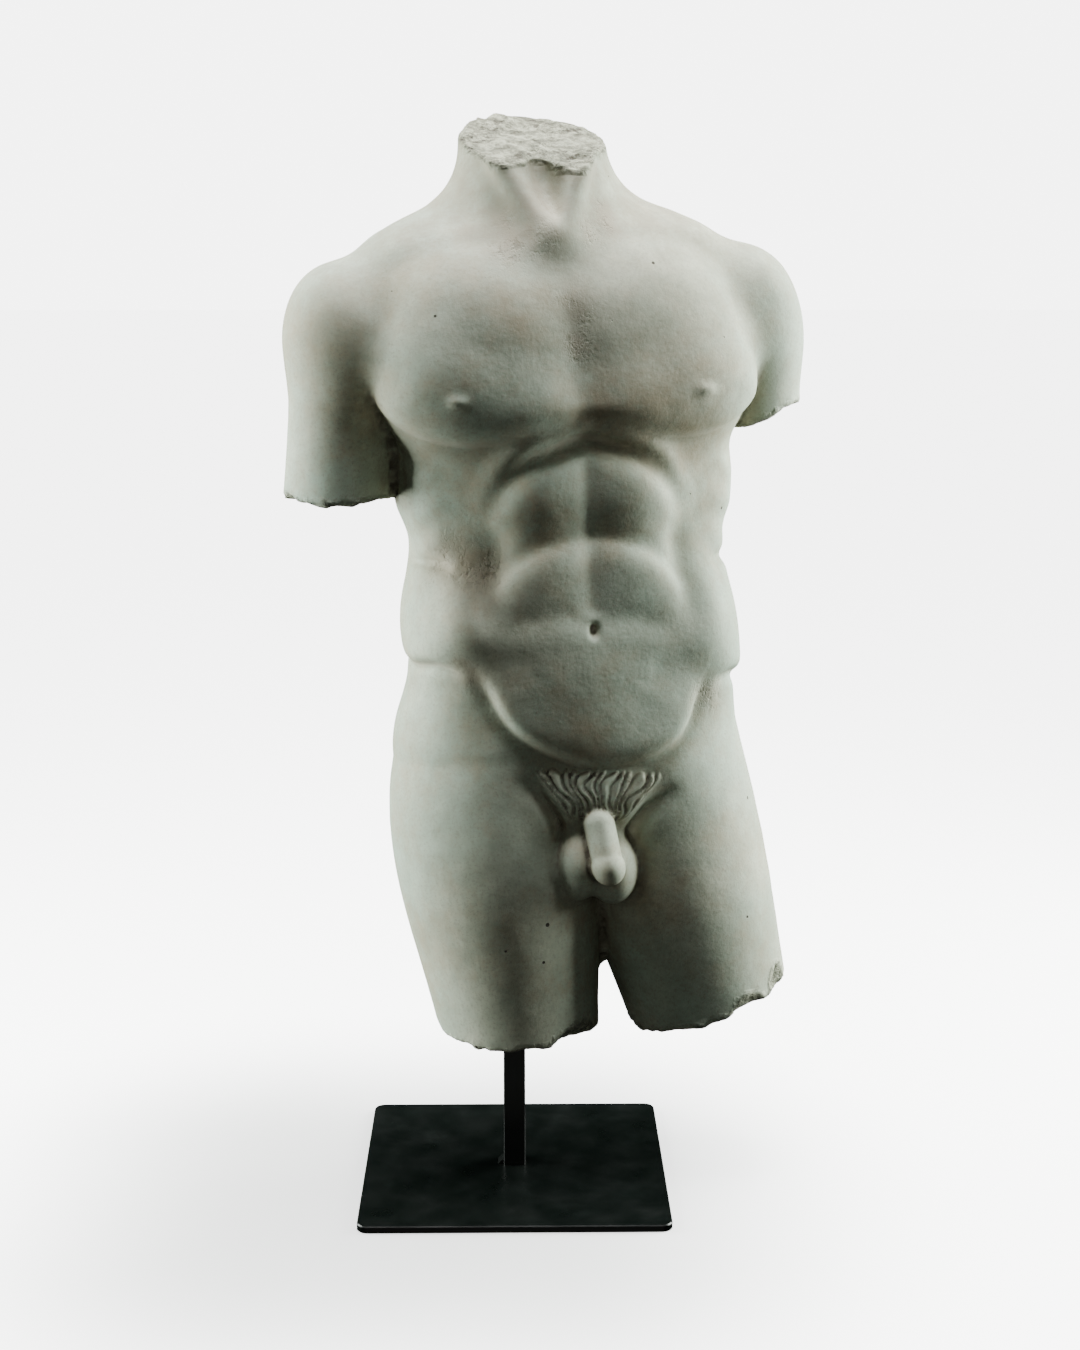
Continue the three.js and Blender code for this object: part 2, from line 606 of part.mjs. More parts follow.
// The grid's reach in x, y and z, and the stretch of each that is fine.
const [gridLeft, gridRight, gridFront, gridBack, gridFoot, gridTop] = [-204, 252, -124, 148, -28, 756];
const [groinX, groinY, groinZ] = [[0, 96], [-110, -56], [96, 228]];
const figureGrid = [
  gridLines(gridLeft, gridRight, gridCell, groinX),
  gridLines(gridFront, gridBack, gridCell, groinY),
  gridLines(gridFoot, gridTop, gridCell, groinZ),
];
const wasm = await Module();
wasm.setup();

function solidOf(geometry) {
  const bare = new THREE.BufferGeometry();
  bare.setAttribute("position", geometry.getAttribute("position"));
  if (geometry.index) bare.setIndex(geometry.index);
  const merged = mergeVertices(bare, sameCorner);
  return new wasm.Manifold(new wasm.Mesh({
    numProp: 3,
    vertProperties: new Float32Array(merged.getAttribute("position").array),
    triVerts: new Uint32Array(merged.index.array),
  }));
}

function meshOf(solid, name, material) {
  const { vertProperties, triVerts, numProp } = solid.getMesh();
  const geometry = new THREE.BufferGeometry();
  const positions = new Float32Array((vertProperties.length / numProp) * 3);
  for (let i = 0; i < positions.length; i++) {
    positions[i] = vertProperties[Math.floor(i / 3) * numProp + (i % 3)];
  }
  geometry.setAttribute("position", new THREE.BufferAttribute(positions, 3));
  geometry.setIndex(new THREE.BufferAttribute(new Uint32Array(triVerts), 1));
  geometry.computeVertexNormals();
  const mesh = new THREE.Mesh(geometry, material);
  mesh.name = name;
  return mesh;
}

function figureGeometry() {
  const { points, faces } = thin(surfaceOf(figureDistance, ...figureGrid), figureTriangles);
  const geometry = new THREE.BufferGeometry();
  geometry.setAttribute("position", new THREE.Float32BufferAttribute(points.flat(), 3));
  geometry.setIndex(faces.flat());
  geometry.scale(drawingScale, drawingScale, drawingScale);
  geometry.translate(0, 0, socketMouth);
  return geometry;
}

// A square post with rounded corners and bevelled ends, from one height to another.
function squarePost(width, corner, from, to, bevel = 0) {
  const half = width / 2;
  const outline = new THREE.Shape();
  outline.moveTo(half - corner, -half);
  outline.absarc(half - corner, corner - half, corner, -Math.PI / 2, 0);
  outline.absarc(half - corner, half - corner, corner, 0, Math.PI / 2);
  outline.absarc(corner - half, half - corner, corner, Math.PI / 2, Math.PI);
  outline.absarc(corner - half, corner - half, corner, Math.PI, 1.5 * Math.PI);
  const geometry = new THREE.ExtrudeGeometry(outline, {
    depth: to - from - 2 * bevel,
    curveSegments: cornerSteps,
    bevelEnabled: bevel > 0,
    bevelSize: bevel,
    bevelOffset: -bevel,
    bevelThickness: bevel,
    bevelSegments: 1,
  });
  return geometry.translate(0, 0, from + bevel);
}

// The weld: a fillet with a three-cornered section, along the bar's foot on the figure's right side.
function weldBead() {
  const section = new THREE.Shape();
  section.moveTo(weldBite, 0);
  section.lineTo(weldBite, weldLeg);
  section.lineTo(0, weldLeg);
  section.lineTo(-weldLeg, 0);
  const geometry = new THREE.ExtrudeGeometry(section, { depth: weldLength, bevelEnabled: false });
  geometry.rotateX(Math.PI / 2);
  return geometry.translate(-barWidth / 2, weldLength / 2, plateThickness);
}

const plaster = new THREE.MeshStandardMaterial({ color: 0xb9b9ac, roughness: 0.85, metalness: 0 });
const blackSteel = new THREE.MeshStandardMaterial({ color: 0x1c1f1e, roughness: 0.35, metalness: 0 });

const barTop = socketMouth + barInSocket;
const socket = solidOf(squarePost(barWidth + 2 * socketClearance, barEdgeRound, 0, barTop));
const figure = solidOf(figureGeometry()).subtract(socket);

const bar = solidOf(squarePost(barWidth, barEdgeRound, plateThickness, barTop)).add(solidOf(weldBead()));
const plate = solidOf(squarePost(plateSide, plateCornerRadius, 0, plateThickness, plateEdgeBevel));

const part = new THREE.Group();
part.add(meshOf(figure, "torso", plaster));
part.add(meshOf(bar, "stem", blackSteel));
part.add(meshOf(plate, "base_plate", blackSteel));

export default part;
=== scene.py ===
import itertools
import math
import bmesh
import bpy
import numpy as np
from mathutils import Euler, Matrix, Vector


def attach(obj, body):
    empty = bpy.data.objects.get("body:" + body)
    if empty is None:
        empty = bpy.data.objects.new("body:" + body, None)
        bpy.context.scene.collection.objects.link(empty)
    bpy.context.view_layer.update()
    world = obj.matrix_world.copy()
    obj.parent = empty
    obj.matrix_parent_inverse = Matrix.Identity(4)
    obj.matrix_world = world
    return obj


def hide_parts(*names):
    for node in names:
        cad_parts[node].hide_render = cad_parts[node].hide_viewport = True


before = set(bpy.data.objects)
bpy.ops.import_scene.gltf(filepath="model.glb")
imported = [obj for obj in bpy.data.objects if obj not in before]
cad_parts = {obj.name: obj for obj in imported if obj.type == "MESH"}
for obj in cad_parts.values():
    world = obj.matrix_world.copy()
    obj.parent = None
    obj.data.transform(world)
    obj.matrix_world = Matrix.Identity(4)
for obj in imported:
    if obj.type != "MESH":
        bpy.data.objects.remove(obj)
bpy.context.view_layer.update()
scene = bpy.context.scene

# Camera: it stands in front of the figure where the photo was taken from, a little above the figure's middle,
# and looks down on the plate.
CAMERA_AT = (0.0, -1.704, 0.755)
CAMERA_DOWN, CAMERA_RIGHT = 11.0, 0.72   # degrees
camera = bpy.data.objects.new("camera", bpy.data.cameras.new("camera"))
scene.collection.objects.link(camera)
camera.location = CAMERA_AT
camera.rotation_euler = (math.radians(90 - CAMERA_DOWN), 0.0, math.radians(-CAMERA_RIGHT))
camera.data.lens = 57.33
camera.data.sensor_width = 36.0
scene.camera = camera

# Torso: one plaster casting of an athlete's body, broken off at the neck, arms and thighs, with a socket for
# the bar in its right thigh. Its skin is the CAD solid's, remeshed finely and drawn onto the figure's own
# form in millimetres: a trunk of sections, with muscles joined to it and lines carved in it.
THIGH_BREAK_Z = 131.0   # height of the right thigh's break above the floor, where the figure's z is 0
SOCKET_HALF = 9.3       # half the width of the bar's socket
SOCKET_TOP = 251.0      # height of the socket's end above the floor
GIRTH_RADIUS = 105.0    # turns an angle about the trunk's axis into millimetres of girth


def through(rows):
    """A smooth curve through rows of [height, value, value, ...]."""
    rows = np.array(rows, float)
    tangents = np.zeros_like(rows)
    for i in range(len(rows)):
        low, high = max(0, i - 1), min(len(rows) - 1, i + 1)
        tangents[i] = (rows[high] - rows[low]) / (rows[high, 0] - rows[low, 0])

    def at(height):
        i = np.clip(np.searchsorted(rows[:, 0], height) - 1, 0, len(rows) - 2)
        a, b = rows[i], rows[i + 1]
        span = (b[:, 0] - a[:, 0])[:, None]
        t = np.clip((height - a[:, 0]) / span[:, 0], 0, 1)[:, None]
        value = (a * (2 * t**3 - 3 * t**2 + 1) + b * (3 * t**2 - 2 * t**3)
                 + span * (tangents[i] * (t**3 - 2 * t**2 + t) + tangents[i + 1] * (t**3 - t**2)))
        return value[:, 1:].T
    return at


def ease(low, high, value):
    """A soft step from 0 at low to 1 at high."""
    t = np.clip((value - low) / (high - low), 0, 1)
    return t * t * (3 - 2 * t)


def join(a, b, soft):
    """The distance to two forms run together, with a fillet of about the softness."""
    h = np.maximum(soft - np.abs(a - b), 0) / soft
    return np.minimum(a, b) - h * h * soft / 4


def cut(a, b, soft):
    """The distance to what two forms share."""
    return -join(-a, -b, soft)


def mass(at, radii, soft, lean=0, turn=0, nod=0):
    """A rounded mass of flesh: an ellipsoid."""
    axes = np.array((Euler((0, 0, math.radians(turn))).to_matrix()
                     @ Euler((0, math.radians(lean), 0)).to_matrix()
                     @ Euler((math.radians(nod), 0, 0)).to_matrix()))
    radii = np.array(radii, float)

    def distance(p):
        local = (p - np.array(at, float)) @ axes
        reach = np.linalg.norm(local / radii, axis=1)
        slope = np.linalg.norm(local / radii**2, axis=1)
        return reach * (reach - 1) / np.maximum(slope, 1e-9)
    return distance, soft


def strand(start, end, radii, soft, swell=0, flat=1):
    """A long muscle from one point to another."""
    start, end = np.array(start, float), np.array(end, float)
    run = end - start
    swell_scale = 6.75   # makes the swelling as high as its given height, a third of the way along

    def distance(p):
        t = np.clip((p - start) @ run / (run @ run), 0, 1)
        d = p - start - t[:, None] * run
        radius = radii[0] + (radii[1] - radii[0]) * t + swell * swell_scale * t * (1 - t)**2
        reach = np.sqrt(d[:, 0]**2 + (d[:, 1] / flat)**2 + d[:, 2]**2)
        slope = np.sqrt(d[:, 0]**2 + (d[:, 1] / flat**2)**2 + d[:, 2]**2) / np.maximum(reach, 1e-6)
        return (reach - radius) / np.maximum(slope, 1e-6)
    return distance, soft


def plane(at, facing):
    """A break through a point, rippled as snapped plaster is."""
    facing = np.array(facing, float) / np.linalg.norm(facing)

    def distance(p):
        ripple = np.sin(p[:, 0] / 9) + np.sin(p[:, 1] / 9 + p[:, 0] / 18)
        return (p - np.array(at, float)) @ facing + 0.9 * ripple
    return distance


CURVE_STEPS = 4       # short straight lengths for each of a stroke's points
STROKE_REACH = 3      # how far a stroke is felt, in its own widths
LEDGE_STEEPNESS = 4


def stroke(points, height, width, reach=0, fade=(0, 0)):
    """A groove, ridge or ledge along a curve of [girth from the midline, height] on the skin."""
    points = np.array(points, float)
    line = []
    for s in np.linspace(0, len(points) - 1, len(points) * CURVE_STEPS + 1):
        i = min(int(s), len(points) - 1)
        t = s - i
        p0, p1 = points[max(i - 1, 0)], points[i]
        p2, p3 = points[min(i + 1, len(points) - 1)], points[min(i + 2, len(points) - 1)]
        v0, v1 = (p2 - p0) / 2, (p3 - p1) / 2
        line.append((2 * p1 - 2 * p2 + v0 + v1) * t**3 + (3 * p2 - 3 * p1 - 2 * v0 - v1) * t**2 + v0 * t + p1)
    line = np.array(line)
    start, run = line[:-1], np.diff(line, axis=0)
    far = max(STROKE_REACH * width, STROKE_REACH * reach)
    low, high = line.min(0) - far, line.max(0) + far

    def rise(u, up):
        out = np.zeros(len(u))
        near = np.flatnonzero((u > low[0]) & (u < high[0]) & (up > low[1]) & (up < high[1]))
        if not len(near):
            return out
        # the nearest place on the curve
        d = np.stack([u[near], up[near]], 1)[:, None, :] - start[None]
        t = np.clip((d * run).sum(2) / np.maximum((run * run).sum(1), 1e-9), 0, 1)
        d = d - t[..., None] * run
        gap = np.sqrt((d * d).sum(2))
        best = gap.argmin(1)
        pick = np.arange(len(near))
        gap, d, e = gap[pick, best], d[pick, best], run[best]
        along = (best + t[pick, best]) / len(run)
        ends = np.ones(len(near))
        if fade[0]:
            ends = np.minimum(ends, ease(0, fade[0], along))
        if fade[1]:
            ends = np.minimum(ends, ease(0, fade[1], 1 - along))
        if reach:
            # a ledge: steep on the curve's one side, and running out softly on the other
            s = gap * np.where(e[:, 1] * d[:, 0] - e[:, 0] * d[:, 1] < 0, -1, 1)
            steep = np.exp(np.clip(-LEDGE_STEEPNESS * s / width, -50, 50))
            profile = np.exp(-(np.maximum(s, 0) / reach)**2) / (1 + steep)
        else:
            profile = np.exp(-(gap / width)**2)
        out[near] = height * ends * profile
        return out
    return rise


# The trunk's axis in x and y, its turn in degrees, and how far its left side drops for each millimetre out.
pose = through([
    [120, 50, 14, 11, 0.09],
    [230, 49, 14, 11, 0.085],
    [330, 44, 16, 12, 0.05],
    [400, 42, 17, 12, 0.0],
    [500, 37, 14, 12, -0.035],
    [580, 28, 10, 12, -0.04],
    [640, 22, 8, 12, -0.043],
    [740, 15, 8, 12, 0],
])
# The trunk without its muscles: height, half width, depth in front of the axis, depth behind it.
TRUNK_FOOT, TRUNK_TOP = 118, 642
TRUNK_FOOT_SOFTNESS, TRUNK_TOP_SOFTNESS = 40, 30
TRUNK_INSIDE = -60        # the distance on the axis itself, where the slope is lost
TRUNK_SQUARENESS = 2.35   # 2 is an ellipse, and more is nearer to a box
trunk_sections = through([
    [110, 92, 30, 50],
    [150, 112, 46, 72],
    [186, 124, 60, 84],
    [228, 119, 70, 84],
    [278, 121, 77, 78],
    [328, 117, 81, 73],
    [368, 113, 80, 70],
    [401, 122, 79, 71],
    [433, 135, 80, 76],
    [470, 136, 80, 82],
    [513, 134, 78, 84],
    [553, 134, 75, 84],
    [600, 130, 68, 76],
    [640, 112, 50, 58],
])
torso_muscles = [
    # chest
    mass([58, -40, 556], [88, 47, 74], 38, lean=-10, turn=6),
    mass([60, -46, 520], [64, 39, 33], 26, lean=-6, turn=6),
    mass([102, -38, 534], [46, 38, 44], 30, lean=-30, turn=18),
    strand([10, -50, 630], [112, -26, 630], [8, 7], 16, flat=0.8),
    # shoulder and back
    strand([30, 18, 669], [115, 10, 623], [22, 24], 24, flat=1.2),
    strand([30, 4, 640], [158, 4, 591], [34, 36], 20, flat=1.2),
    mass([80, 58, 558], [46, 26, 62], 18, lean=12, turn=-12),
    strand([124, 36, 560], [92, 46, 400], [30, 20], 26),
    strand([24, 60, 560], [27, 54, 330], [24, 24], 18),
    # abdomen
    mass([30, -54, 440], [42, 31, 44], 24),
    mass([32, -54, 378], [42, 32, 40], 24),
    mass([93, -10, 338], [37, 70, 50], 50, lean=4),
    # hip and buttock
    mass([71, 4, 226], [41, 62, 60], 34),
    mass([58, 54, 202], [60, 52, 66], 16),
    # belly, and the mound of the groin
    mass([0, -38, 294], [83, 50, 85], 38),
    mass([0, -55, 208], [48, 31, 35], 14),
]
# The parts that are joined to the trunk one by one, and the breaks that cut them off.
genitals = [
    mass([1, -60, 178], [25, 22, 30], 8),
    mass([-13, -65, 151], [21, 27, 32], 8),
    mass([15, -65, 149], [22, 27, 32], 8),
    strand([1, -85, 187], [4.5, -92, 164], [12.6, 12.6], 2),
    mass([6, -95.5, 155], [13.6, 13.6, 15], 0.6),
]
right_thigh = strand([-24, 6, 235], [7, 0, -24], [74, 65], 30, swell=14)
left_thigh = strand([102, 26, 235], [174, 22, -30], [76, 65], 30, swell=8)
deltoid = mass([161, 4, 560], [45, 50, 56], 30, lean=8)
right_arm = strand([168, 4, 560], [186, 8, 400], [40, 43], 8)
left_arm = strand([163, 4, 560], [164, 6, 440], [38, 39], 8)
neck = strand([0, 4, 600], [0, 12, 780], [60, 57], 34)
throat_cords = [
    strand([-8, -57, 642], [-42, -36, 704], [8, 9], 10),
    strand([2, -57, 642], [30, -43, 704], [8, 9], 10),
    mass([-3, -47, 632], [19, 14, 15], 10),
]
throat_hollow = mass([-7, -66, 694], [14, 31, 46], 6, lean=-8, nod=-6)
neck_break = plane([0, -2, 711], [0, -0.37, 1])
right_arm_break = plane([-168, 4, 440], [0, 0, -1])
left_arm_break = plane([168, 4, 494], [0.25, 0, -1])
right_thigh_break = plane([3, 0, -4], [0, 0, -1])
left_thigh_break = plane([160, 22, 12], [0.34, 0, -1])
# Flakes knocked off the edges of the breaks.
thigh_flakes = [
    mass([212, -68, 13], [43, 43, 40], 2),
    mass([244, -24, 38], [34, 34, 34], 3),
    mass([66, -70, -20], [42, 52, 40], 3),
    mass([110, -70, -30], [34, 34, 34], 3),
    mass([-92, -16, -34], [46, 90, 46], 3),
]
arm_flakes = [mass([-240, -8, 418], [36, 44, 34], 3), mass([226, -14, 474], [24, 34, 22], 3)]

# Curves that several strokes follow, each point a girth from the front's midline and a height.
pec_edge = [[147, 552], [139, 518], [121, 497], [102, 488], [75, 487], [50, 492], [20, 500], [0, 506],
            [-16, 507]]
rib_arch = np.array([[-12, 485], [0, 486], [22, 481], [44, 474], [62, 464], [76, 449], [86, 430], [92, 410]])
upper_line = [[-12, 410], [0, 411], [36, 406], [60, 394], [80, 374], [90, 356]]
navel_line = [[-12, 345], [0, 346], [36, 349], [66, 340], [84, 322]]
shield_edge = [[90, 318], [90, 300], [86, 280], [74, 258], [54, 243], [30, 235], [0, 232], [-20, 233]]
NAVEL_HEIGHT = 341
strokes = [
    # breastbone, and the lower edge of the chest muscle
    stroke([[0, 600], [0, 560], [0, 504]], -3.5, 18, fade=(0.5, 0.2)),
    stroke(pec_edge, 5, 9, reach=28, fade=(0.2, 0.1)),
    stroke(pec_edge, -3, 7, fade=(0.3, 0.2)),
    # rib arch: a crease, a band of rib above it, and the abdomen's upper rim below it
    stroke(rib_arch, -6, 8, fade=(0, 0.8)),
    stroke(rib_arch * [1.07, 1] + [0, 13], 4, 8, fade=(0, 0.8)),
    stroke(rib_arch * [0.93, 1] - [0, 8], 3.5, 15, reach=38, fade=(0, 0.5)),
    # white line, and the two cross lines of the abdomen, each with a rim below it
    stroke([[0, 486], [0, 420], [0, 350]], -1.6, 9, fade=(0.2, 0.1)),
    stroke(upper_line, 4.5, 11, reach=34, fade=(0, 0.5)),
    stroke(upper_line, -2.2, 11, fade=(0, 0.6)),
    stroke(navel_line, 1.6, 14, reach=44, fade=(0, 0.5)),
    stroke(navel_line, -1, 9, fade=(0, 0.5)),
    # outer edge of the abdomen
    stroke([[80, 428], [82, 397], [83, 362], [84, 330]], -3, 11, fade=(0.3, 0.4)),
    # teeth of the rib muscle
    stroke([[114, 470], [130, 458], [150, 452]], 2.2, 9, fade=(0.4, 0.5)),
    stroke([[112, 444], [130, 431], [148, 426]], 2.2, 9, fade=(0.4, 0.5)),
    stroke([[112, 418], [128, 406], [146, 400]], 1.8, 8, fade=(0.4, 0.5)),
    # waist, hip crest, and the furrow of the groin
    stroke([[108, 386], [128, 390], [158, 388], [180, 392]], -3.5, 5.5, fade=(0.3, 0.6)),
    stroke([[98, 300], [120, 305], [150, 299], [185, 304], [225, 316]], -3, 6, fade=(0.2, 0.7)),
    stroke([[225, 319], [185, 307], [150, 302], [120, 308], [98, 303]], 4, 6, reach=22, fade=(0.7, 0.3)),
    stroke(shield_edge, 5, 7, reach=36, fade=(0.35, 0.1)),
    stroke(shield_edge, -4, 8, fade=(0.3, 0.5)),
    stroke([[74, 222], [56, 206], [42, 188], [36, 172], [33, 140]], -7, 6.5, fade=(0.4, 0.1)),
    # hollow inside the hip bone
    stroke([[104, 284], [94, 264], [80, 240]], -1, 14, fade=(0.4, 0.4)),
    # nipple and navel
    stroke([[86, 521], [87, 521]], 1.9, 4.6),
    stroke([[0, NAVEL_HEIGHT + 1], [0, NAVEL_HEIGHT - 1]], -6, 4),
]
NIPPLE_OUT, NIPPLE_HEIGHT = 98, 520   # across and up, where its faces are made finer
HAIR_TOP, HAIR_FALL = 230, 40
HAIR_HALF_TOP, HAIR_NARROWING = 56, 30


def hair(u, v):
    """Height of the wavy locks at a girth and a height. They fall from the belly's edge and run together."""
    fall = np.clip((HAIR_TOP - v) / HAIR_FALL, 0, 1)
    share = u / (HAIR_HALF_TOP - HAIR_NARROWING * fall**1.3)
    wave = 0.5 * np.sin(v / 6.5 + 1.6 * share) + 0.16 * np.sin(v / 3.1 - 3 * share)
    wave += 0.22 * np.sin(13 * share)
    lock = np.abs(np.sin(np.pi * (6.5 * share + wave)))
    thin = np.abs(np.sin(np.pi * (13 * share + 2 * wave + 0.3)))
    edge = ease(187, 195, v) * ease(0, 5, 226 + 5 * lock - v) * ease(0, 0.2, 1.1 - np.abs(share))
    return edge * (0.6 + 2.0 * lock**0.9 + 0.4 * thin * ease(196, 208, v))


def in_trunk(p):
    """Places in the trunk's own frame, which leans, turns and tilts with the pose."""
    axis_x, axis_y, turn, drop = pose(p[:, 2])
    dx, dy = p[:, 0] - axis_x, p[:, 1] - axis_y
    c, s = np.cos(np.radians(turn)), np.sin(np.radians(turn))
    across = dx * c + dy * s
    return np.stack([across, dy * c - dx * s, p[:, 2] + drop * across], 1)


def trunk_distance(q):
    """The distance to the trunk without its muscles."""
    side, front, back = trunk_sections(q[:, 2])
    depth = np.where(q[:, 1] < 0, front, back)
    u, v, n = np.abs(q[:, 0]) / side, np.abs(q[:, 1]) / depth, TRUNK_SQUARENESS
    reach = (u**n + v**n)**(1 / n)
    slope = np.hypot(u**(n - 1) / side, v**(n - 1) / depth) / np.maximum(reach, 1e-6)**(n - 1)
    body = np.where(slope < 1e-6, TRUNK_INSIDE, (reach - 1) / np.maximum(slope, 1e-6))
    body = cut(body, q[:, 2] - TRUNK_TOP, TRUNK_TOP_SOFTNESS)
    return cut(body, TRUNK_FOOT - q[:, 2], TRUNK_FOOT_SOFTNESS)


def girth_of(q):
    """Girth from the front's midline, the same on both sides."""
    return np.arctan2(np.abs(q[:, 0]), -q[:, 1]) * GIRTH_RADIUS


# How softly the parts run together, and how sharp the rims of the breaks are.
MIDLINE_ROUNDING = 10
HIP_SOFTNESS, CLEFT_SOFTNESS = 30, 4
SHOULDER_SOFTNESS = 20
ARMPIT_SOFTNESS, SHOULDER_TOP_SOFTNESS = 3, 24
ARMPIT_FOOT, ARMPIT_TOP = 520, 560
THIGH_RIM, ARM_RIM, NECK_RIM = 4, 3, 3
CARVED_DEPTH = 18   # lines are carved where the skin is nearer than this


def figure_distance(p):
    """The distance to the whole figure. The muscles are given for one side, and q folds onto it as m."""
    q = in_trunk(p)
    m = np.stack([np.hypot(q[:, 0], MIDLINE_ROUNDING), q[:, 1], q[:, 2]], 1)
    d = trunk_distance(q)
    for muscle, soft in torso_muscles:
        d = join(d, muscle(m), soft)
    right = cut(right_thigh[0](p), right_thigh_break(p), THIGH_RIM)
    left = cut(left_thigh[0](p), left_thigh_break(p), THIGH_RIM)
    d = join(d, join(right, left, CLEFT_SOFTNESS), HIP_SOFTNESS)
    for flake, soft in thigh_flakes:
        d = cut(d, -flake(p), soft)
    # the carved lines, near the skin only
    skin = np.flatnonzero(np.abs(d) < CARVED_DEPTH)
    girth = girth_of(q[skin])
    for mark in strokes:
        d[skin] -= mark(girth, q[skin, 2])
    d[skin] -= hair(np.where(q[skin, 0] < 0, -girth, girth), q[skin, 2]) * (q[skin, 1] < 0)
    for lobe, soft in genitals:
        d = join(d, lobe(q), soft)
    # the arms' stumps, with a tight armpit and a soft shoulder
    shoulder = deltoid[0](m)
    right = cut(join(right_arm[0](m), shoulder, SHOULDER_SOFTNESS), right_arm_break(q), ARM_RIM)
    left = cut(join(left_arm[0](m), shoulder, SHOULDER_SOFTNESS), left_arm_break(q), ARM_RIM)
    stump = np.where(q[:, 0] < 0, right, left)
    for flake, soft in arm_flakes:
        stump = cut(stump, -flake(q), soft)
    softening = SHOULDER_TOP_SOFTNESS - ARMPIT_SOFTNESS
    d = join(d, stump, ARMPIT_SOFTNESS + softening * ease(ARMPIT_FOOT, ARMPIT_TOP, q[:, 2]))
    # the neck, with its sinews and the hollow between them
    collar = neck[0](m)
    for cord, soft in throat_cords:
        collar = join(collar, cord(q), soft)
    collar = cut(collar, -throat_hollow[0](q), throat_hollow[1])
    return join(d, cut(collar, neck_break(q), NECK_RIM), neck[1])


def socket_distance(p):
    across = np.maximum(np.abs(p[:, 0]), np.abs(p[:, 1]))
    return np.maximum(across - SOCKET_HALF, p[:, 2] - (SOCKET_TOP - THIGH_BREAK_Z))


def skin_distance(p):
    return np.maximum(figure_distance(p), -socket_distance(p))


def noise(p, size, seed):
    """Smooth noise from -1 to 1, in lumps of about the size."""
    place = np.asarray(p, float) / size + seed
    cell = np.floor(place).astype(np.int64)
    t = place - cell
    t = t * t * (3 - 2 * t)
    # each corner of the cell has a number from 0 to 1, mixed from its place
    total = np.zeros(len(place))
    for corner in itertools.product((0, 1), repeat=3):
        c = cell + corner
        mixed = (c[:, 0] * 73856093) ^ (c[:, 1] * 19349663) ^ (c[:, 2] * 83492791)
        mixed = ((mixed & 0xFFFFFF) * 40503 + 12345) & 0xFFFFFF
        mixed = ((mixed ^ (mixed >> 11)) * 31337) & 0xFFFFFF
        weight = np.prod(np.where(corner, t, 1 - t), axis=1)
        total += weight * mixed / 0xFFFFFF
    return 2 * total - 1


def settle(points, rounds):
    """Moves points onto the skin, and gives them with the skin's direction there."""
    probe, farthest, flattest = 0.4, 4, 0.3
    for _ in range(rounds):
        here = skin_distance(points)
        slope = np.stack([skin_distance(points + step) - here for step in np.eye(3) * probe], 1) / probe
        length = np.maximum(np.linalg.norm(slope, axis=1, keepdims=True), flattest)
        points = points - np.clip(here, -farthest, farthest)[:, None] * slope / length**2
    return points, slope / length


def places(mesh):
    """A mesh's points in the figure's frame, in millimetres."""
    out = np.empty(len(mesh.vertices) * 3)
    mesh.vertices.foreach_get("co", out)
    return out.reshape(-1, 3) * 1000 - [0, 0, THIGH_BREAK_Z]


# The casting's own mesh: a finely remeshed copy of the CAD torso, settled onto the figure's form.
source = bpy.data.objects["torso"]
bm = bmesh.new()
bm.from_mesh(source.data)
bmesh.ops.remove_doubles(bm, verts=bm.verts, dist=1e-6)
torso = bpy.data.objects.new("torso_cast", bpy.data.meshes.new("torso_cast"))
bm.to_mesh(torso.data)
scene.collection.objects.link(torso)
remesh = torso.modifiers.new("fine skin", "REMESH")
remesh.mode = "VOXEL"
remesh.voxel_size = 0.0043   # keeps the casting under 200,000 triangles
torso.data = bpy.data.meshes.new_from_object(torso.evaluated_get(bpy.context.evaluated_depsgraph_get()))
torso.modifiers.clear()
points, _ = settle(places(torso.data), rounds=3)

# Finer faces where the detail is fine: at the groin, the navel, the nipples, the throat and the breaks.
bm.clear()
bm.from_mesh(torso.data)
for vertex, point in zip(bm.verts, points):
    vertex.co = point
for level in range(2):
    middles = np.array([face.calc_center_median() for face in bm.faces])
    q = in_trunk(middles)
    groin = (np.abs(q[:, 0]) < 62) & (q[:, 1] < -36) & (q[:, 2] > 108) & (q[:, 2] < 234)
    from_navel = np.hypot(q[:, 0], q[:, 2] - NAVEL_HEIGHT)
    if level:
        groin &= q[:, 2] > 178
        fine = groin | (from_navel < 9) & (q[:, 1] < 0)
    else:
        broken = (neck_break(q) > -3) | (right_arm_break(q) > -3) & (q[:, 0] < -120)
        broken |= (left_arm_break(q) > -3) & (q[:, 0] > 120) | (np.abs(left_thigh_break(middles)) < 3)
        nipple = np.hypot(np.abs(q[:, 0]) - NIPPLE_OUT, q[:, 2] - NIPPLE_HEIGHT) < 13
        throat = (q[:, 2] > 612) & (q[:, 2] < 680) & (q[:, 1] < -40) & (np.abs(q[:, 0]) < 30)
        girth = girth_of(q)
        crease = (np.abs(q[:, 2] - 388) < 11) & (girth > 104) & (girth < 186)
        crease |= (np.abs(q[:, 2] - 440) < 12) & (q[:, 0] < -105) & (q[:, 0] > -145)
        fine = groin | broken | throat | crease | (nipple | (from_navel < 16)) & (q[:, 1] < 0)
    bm.faces.ensure_lookup_table()
    edges = {edge for i in np.flatnonzero(fine) for edge in bm.faces[i].edges}
    bmesh.ops.subdivide_edges(bm, edges=list(edges), cuts=1, use_grid_fill=True)
bmesh.ops.triangulate(bm, faces=[face for face in bm.faces if len(face.verts) > 4])
bm.to_mesh(torso.data)
bm.free()
points = np.empty(len(torso.data.vertices) * 3)
torso.data.vertices.foreach_get("co", points)
points, facing = settle(points.reshape(-1, 3), rounds=2)

